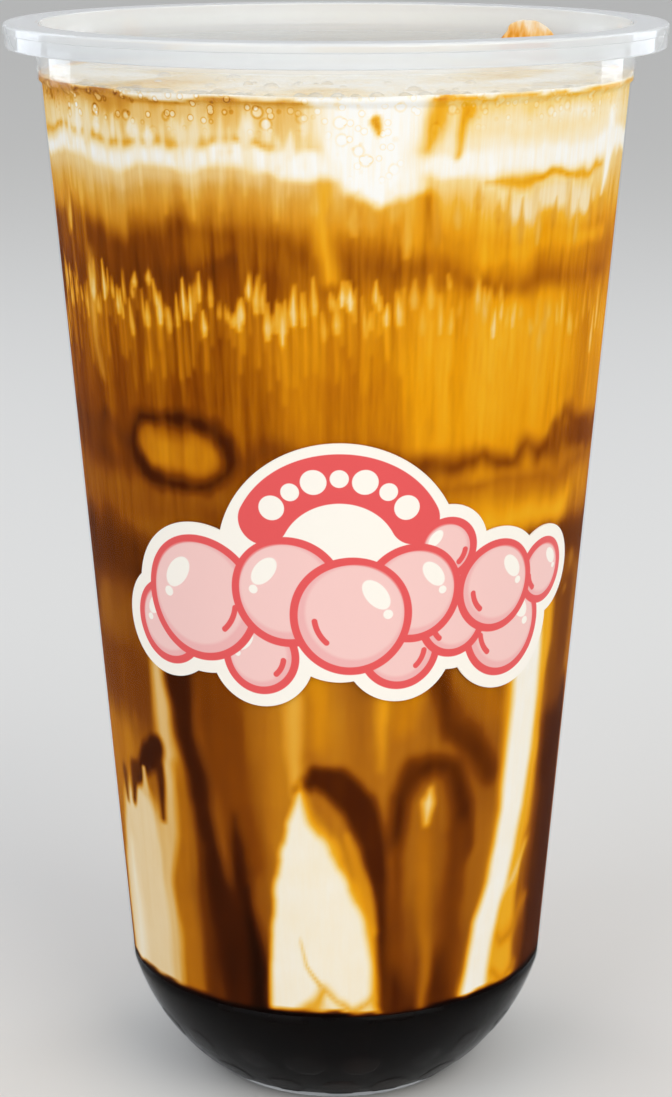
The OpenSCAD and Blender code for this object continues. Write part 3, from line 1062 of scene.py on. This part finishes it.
# %% The grid of the smear
SMEAR_TURN = 135
SMEAR_W = 13.5
SMEAR_LOW, SMEAR_TOP = foam_high - 1.2, rim_z - 1.9
share_across, share_up = np.meshgrid(np.linspace(-1, 1, 41), np.linspace(0, 1, 25))
smear_z = SMEAR_LOW + (SMEAR_TOP - foam_high + 1.2) * share_up
ragged = 1 + 0.16 * mottle(share_across * 30 + 100, smear_z, 4, 1.6, 41)
half_turn = np.degrees(SMEAR_W / 2 / top_r) * ragged * np.sqrt(1 - 0.97 * share_up ** 2.5)
smear_turn = np.radians(SMEAR_TURN + share_across * half_turn)
print(f"{smear_z.size} points, {SMEAR_W} mm wide and {SMEAR_TOP - SMEAR_LOW:.1f} mm high")

# %% Lay the smear on the wall
THICK_LOW, DRAINED_AWAY = 0.34, 0.22
SMEAR_INTO_WALL = 0.08
profile = np.sqrt(np.clip(1 - share_across ** 2, 0, 1)) * np.sqrt(np.clip(1 - share_up ** 4, 0, 1))
uneven = 1 + 0.35 * mottle(share_across * 20 + 60, smear_z, 2, 1.2, 42)
thick = profile * (THICK_LOW - DRAINED_AWAY * share_up) * uneven


def on_wall(radius):
    """Points at this radius over the smear's grid."""
    return np.stack([radius * np.sin(smear_turn), -radius * np.cos(smear_turn), smear_z], -1)


smear_in = on_wall(inner_r(smear_z) - thick)
smear_out = on_wall(inner_r(smear_z) + SMEAR_INTO_WALL)
smear = ring_mesh("syrup_smear", np.concatenate([smear_in, smear_out[:, ::-1]], 1))
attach(smear, "root")

# %% [markdown]
# Thin syrup is clear and orange, and where it has drained away only milk is left. So the
# colour follows the height, from orange to cream, and a noise stretched along the flow
# breaks it into runs.

# %% Make the finish of thin syrup
caramel = material("thin_syrup_film")
tree = caramel.node_tree
place = add(tree, "TexCoord")
thin_place = add(tree, "Mapping", {0: place.outputs["Object"], "Scale": (700, 700, 260)})
thin = add(tree, "TexNoise", {"Vector": thin_place.outputs[0], "Scale": 1.0, "Detail": 3.0})
height = add(tree, "SeparateXYZ", {0: place.outputs["Object"]})
drained = add(tree, "MapRange", {
    "Value": height.outputs["Z"], "From Min": (foam_high + 1.2) * MM, "From Max": SMEAR_TOP * MM,
    "To Min": -0.12, "To Max": 0.42,
})
left_over = add(tree, "Math", {0: thin.outputs[0], 1: drained.outputs[0]}, operation="ADD")
thin_colour = add(tree, "ValToRGB", {0: left_over.outputs[0]}, stops=[
    (0.34, "#BE7412"), (0.52, "#E69C26"), (0.70, "#F1C680"), (0.90, "#F4E6D0"),
])
thin_syrup = add(tree, "BsdfPrincipled", {
    "Base Color": thin_colour.outputs[0], "Roughness": 0.18, "IOR": 1.45, "Specular IOR Level": 0.4,
})
shade(caramel, thin_syrup.outputs[0])
smear.data.materials.append(caramel)
print(caramel.name, "with", len(tree.nodes), "nodes")

# %% [markdown]
# ## The pearls
#
# Tapioca pearls are soft balls of about 8 mm. They sink, crowd together and flatten where
# they press on the wall, with thick black syrup between them. Round balls would touch the
# wall at a point only, so each one is cut off at the wall like a real soft pearl. The syrup
# that holds them is a body turned from the same wall, a hair's breadth further in.

# %% The syrup at the bottom
PEARL_R = 4.1
BED_INTO_WALL = 0.34
syrup_outline = [(r + BED_INTO_WALL, z - BED_INTO_WALL) for r, z in inner if z < tea_low - 0.5]
syrup_outline.append((inner_r(tea_low) + BED_INTO_WALL, tea_low))
syrup = ring_mesh("dark_syrup_bed", turned(np.array(syrup_outline), even_turns(240)))
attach(syrup, "root")

# %% [markdown]
# Only the pearls at the wall show, so they are placed there, in rings one above another,
# each ring half a pearl further round than the last. A real pearl is never quite round and
# no ring is even, so each gets its own size, place and slight stretch.

# %% Place the pearls against the wall, ring above ring
PEARL_PAST_BED = 0.07
SQUEEZED = 0.93
RING_STEP = 0.78
rng = np.random.default_rng(5)
large_ball = unit_ball(4)
placed = []
pitch = 2 * PEARL_R * SQUEEZED
levels = np.arange(pearls_low + PEARL_R * 0.8, tea_low - PEARL_R * 0.5, pitch * RING_STEP)
for level, z in enumerate(levels):
    ring_r = inner_r(z) - PEARL_R * 0.72
    count = max(1, int(2 * math.pi * ring_r / pitch))
    for i in range(count):
        turn = (i + 0.5 * (level % 2) + rng.uniform(-0.12, 0.12)) * 2 * math.pi / count
        size = PEARL_R * rng.uniform(0.92, 1.04)
        centre = np.array([ring_r * math.sin(turn), -ring_r * math.cos(turn), z + rng.uniform(-0.5, 0.5)])
        points = large_ball[0] * size * (1 + 0.03 * rng.uniform(-1, 1, 3)) + centre
        points[:, 2] = np.maximum(points[:, 2], pearls_low - BED_INTO_WALL - PEARL_PAST_BED)
        reach = np.hypot(points[:, 0], points[:, 1])
        limit = inner_r(points[:, 2] + BED_INTO_WALL) + BED_INTO_WALL + PEARL_PAST_BED
        points[:, :2] *= np.minimum(1, limit / np.maximum(reach, 1e-6))[:, None]
        placed.append(points)
pearls = many_balls("tapioca_pearls", large_ball, placed)
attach(pearls, "root")
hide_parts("pearls")

# %% [markdown]
# ## Cooked tapioca and black syrup
#
# Cooked tapioca is a jelly: dark brown, almost black, and glossy. Only a trace of brown
# shows where light gets into it, so the colour changes a little from pearl to pearl. Both
# it and the syrup wet the wall, so their own shine is weak.

# %% Make the pearls' finish
tapioca = material("cooked_tapioca")
tree = tapioca.node_tree
place = add(tree, "TexCoord")
patches = add(tree, "TexNoise", {"Vector": place.outputs["Object"], "Scale": 130.0, "Detail": 3.0})
tapioca_colour = add(tree, "ValToRGB", {0: patches.outputs[0]}, stops=[
    (0.30, "#050202"), (0.55, "#0B0504"), (0.75, "#190C07"),
])
jelly = add(tree, "BsdfPrincipled", {
    "Base Color": tapioca_colour.outputs[0], "Roughness": 0.18, "IOR": 1.38, "Specular IOR Level": 0.1,
})
shade(tapioca, jelly.outputs[0])
pearls.data.materials.append(tapioca)
print(tapioca.name, "with", len(tree.nodes), "nodes")

# %% [markdown]
# The syrup around the pearls is boiled down brown sugar. Deep syrup takes nearly all light,
# so it is darker still, with the faint clouds of sugar that is not quite dissolved.

# %% Make the dark syrup's finish
molasses = material("black_sugar_syrup")
tree = molasses.node_tree
place = add(tree, "TexCoord")
clouds = add(tree, "TexNoise", {"Vector": place.outputs["Object"], "Scale": 220.0, "Detail": 3.0})
syrup_colour = add(tree, "ValToRGB", {0: clouds.outputs[0]}, stops=[
    (0.35, "#040202"), (0.70, "#080403"),
])
thick_syrup = add(tree, "BsdfPrincipled", {
    "Base Color": syrup_colour.outputs[0], "Roughness": 0.12, "IOR": 1.45, "Specular IOR Level": 0.05,
})
shade(molasses, thick_syrup.outputs[0])
syrup.data.materials.append(molasses)
print(molasses.name, "with", len(tree.nodes), "nodes")

# %% [markdown]
# ## The printed sticker
#
# A die-cut sticker is glued round the front. It is vinyl film, printed and then laminated,
# which leaves a smooth satin gloss. The frame already has its shape: a cloud of round
# bubbles under an arch. The print is a cartoon of the same thing: pink bubbles with coral
# outlines and cream highlights, under a coral arch with cream dots. It is drawn on the
# unrolled film, in millimetres round the cup and up from the sticker's middle, and each
# spot or arc is printed over what was there before.

# %% Unroll the film
STICKER_Z = 86.5
STICKER_TURN = 2.5
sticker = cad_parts["sticker"]
sticker_r = float(outer_r(STICKER_Z))
vinyl = material("laminated_vinyl_film")
tree = vinyl.node_tree
place = add(tree, "TexCoord")
part = add(tree, "SeparateXYZ", {0: place.outputs["Object"]})
front = add(tree, "Math", {0: part.outputs["Y"], 1: -1.0}, operation="MULTIPLY")
angle = add(tree, "Math", {0: part.outputs["X"], 1: front.outputs[0]}, operation="ARCTAN2")
turned_by = add(tree, "Math", {0: angle.outputs[0], 1: math.radians(STICKER_TURN)}, operation="SUBTRACT")
around = add(tree, "Math", {0: turned_by.outputs[0], 1: sticker_r}, operation="MULTIPLY")
up_mm = add(tree, "Math", {0: part.outputs["Z"], 1: 1 / MM, 2: -STICKER_Z}, operation="MULTIPLY_ADD")
film_place = add(tree, "CombineXYZ", {0: around.outputs[0], 1: up_mm.outputs[0]})
print(f"the film is unrolled at a radius of {sticker_r:.2f} mm")

# %% Two printing tools: a spot and an arc


def print_over(below, cover, colour):
    """The colours below with one more colour where cover is 1."""
    mixed = add(tree, "Mix", {"Factor": cover, "A": below, "B": linear(colour)}, data_type="RGBA")
    return mixed.outputs["Result"]


def spot(below, across, up, long, wide, colour, lean=0.0, soft=0.06):
    """Prints an oval. long is half its length, along a line that leans from upright."""
    local = add(tree, "Mapping", {
        0: film_place.outputs[0], "Location": (across, up, 0),
        "Rotation": (0, 0, -math.radians(lean)), "Scale": (wide, long, 1),
    }, vector_type="TEXTURE")
    away = add(tree, "VectorMath", {0: local.outputs[0]}, operation="LENGTH")
    edge = soft / wide
    cover = add(tree, "MapRange", {
        "Value": away.outputs["Value"], "From Min": 1 + edge, "From Max": 1 - edge,
    })
    return print_over(below, cover.outputs[0], colour)


def arc(below, across, up, radius, half_width, lean, half_span, colour, soft=0.06):
    """Prints a piece of a ring with round ends, half_span degrees to each side of its lean."""
    span = math.radians(half_span)
    end = (radius * math.sin(span), radius * math.cos(span), 0)
    local = add(tree, "Mapping", {
        0: film_place.outputs[0], "Location": (across, up, 0), "Rotation": (0, 0, -math.radians(lean)),
    }, vector_type="TEXTURE")
    flat = add(tree, "SeparateXYZ", {0: local.outputs[0]})
    side = add(tree, "Math", {0: flat.outputs["X"]}, operation="ABSOLUTE")
    rho = add(tree, "VectorMath", {0: local.outputs[0]}, operation="LENGTH")
    off_ring = add(tree, "Math", {0: rho.outputs["Value"], 1: radius}, operation="SUBTRACT")
    off_ring = add(tree, "Math", {0: off_ring.outputs[0]}, operation="ABSOLUTE")
    folded = add(tree, "CombineXYZ", {0: side.outputs[0], 1: flat.outputs["Y"]})
    off_end = add(tree, "VectorMath", {0: folded.outputs[0], 1: end}, operation="DISTANCE")
    turn_here = add(tree, "Math", {0: side.outputs[0], 1: flat.outputs["Y"]}, operation="ARCTAN2")
    past_end = add(tree, "Math", {0: turn_here.outputs[0], 1: span}, operation="GREATER_THAN")
    away = add(tree, "Mix", {
        "Factor": past_end.outputs[0], "A": off_ring.outputs[0], "B": off_end.outputs["Value"],
    }, data_type="FLOAT")
    cover = add(tree, "MapRange", {
        "Value": away.outputs["Result"], "From Min": half_width + soft, "From Max": half_width - soft,
    })
    return print_over(below, cover.outputs[0], colour)


print("unrolling the film took", len(tree.nodes), "nodes")

# %% [markdown]
# The arch goes on first, with its seven dots, small and large in turn.

# %% Print the arch
CREAM, CORAL, PINK, BLUSH = "#FAF5EB", "#E55354", "#F4C9C4", "#EFB4B2"
ARCH_ACROSS, ARCH_UP, ARCH_R, ARCH_HALF_W, ARCH_HALF_SPAN = -1.2, 2.3, 11.7, 3.5, 62
DOTS, DOT_STEP = 7, 17
SMALL_DOT, LARGE_DOT = 1.25, 1.75
base = add(tree, "RGB")
base.outputs[0].default_value = linear(CREAM)
inked = arc(base.outputs[0], ARCH_ACROSS, ARCH_UP, ARCH_R, ARCH_HALF_W, 0, ARCH_HALF_SPAN, CORAL)
for number in range(DOTS):
    turn = math.radians(DOT_STEP * (number - DOTS // 2))
    dot = SMALL_DOT if number % 2 else LARGE_DOT
    dot_across = ARCH_ACROSS + ARCH_R * math.sin(turn)
    dot_up = ARCH_UP + ARCH_R * math.cos(turn)
    inked = spot(inked, dot_across, dot_up, dot, dot, CREAM)
print("the arch has", DOTS, "dots")

# %% [markdown]
# The bubbles overlap like a heap of balloons. Those low down are printed first. Each one
# is a coral disc, a slightly smaller pink one, a lighter pink inside shifted up and to the
# side of the light, which leaves a soft shade on the other side, one large cream highlight,
# a small one, and a short coral stroke that follows the outline on the shaded side.

# %% Print the bubbles
OUTLINE_W = 1.15
BUBBLES = [  # distance round the cup, height from the middle, radius, side of the highlight
    (-12.5, -12, 5.7, -1), (7.5, -10.8, 6.0, -1), (-27.5, -9, 6.2, -1), (24.5, -9.8, 7.2, 1),
    (15.5, -7.4, 5.4, 1), (32, -2.8, 4.9, 1), (14, 3.2, 4.6, -1), (-21.5, -4.5, 9.2, -1),
    (22.5, -3.3, 6.8, 1), (-8.4, -2.4, 8.0, -1), (9.2, -2.8, 7.2, 1), (0.5, -5.8, 8.6, 1),
]
MARKS = [  # shares of the radius: across, up, half length and half width, then the lean
    (0.40, 0.36, 0.30, 0.17, -40),
    (0.60, 0.02, 0.08, 0.08, 0),
]
for across, up, radius, side in BUBBLES:
    inside = radius - OUTLINE_W
    lit = 0.92 * inside
    inked = spot(inked, across, up, radius, radius, CORAL)
    inked = spot(inked, across, up, inside, inside, BLUSH)
    inked = spot(inked, across + 0.05 * side * radius, up + 0.06 * radius, lit, lit, PINK, soft=0.25)
    for mark_across, mark_up, long, wide, lean in MARKS:
        inked = spot(inked, across + mark_across * side * radius, up + mark_up * radius,
                     long * radius, wide * radius, CREAM, lean=lean * side)
    inked = arc(inked, across, up, 0.60 * radius, 0.42, -118 * side, 20, CORAL)
print("printed", len(BUBBLES), "bubbles with", len(tree.nodes), "nodes")

# %% [markdown]
# The ink lies under clear laminate, so the whole print shares one satin surface.

# %% Laminate the film
film = add(tree, "BsdfPrincipled", {
    "Base Color": inked, "Roughness": 0.32, "IOR": 1.5, "Specular IOR Level": 0.35,
})
shade(vinyl, film.outputs[0])
sticker.data.materials.clear()
sticker.data.materials.append(vinyl)
print(vinyl.name, "is on", sticker.name)
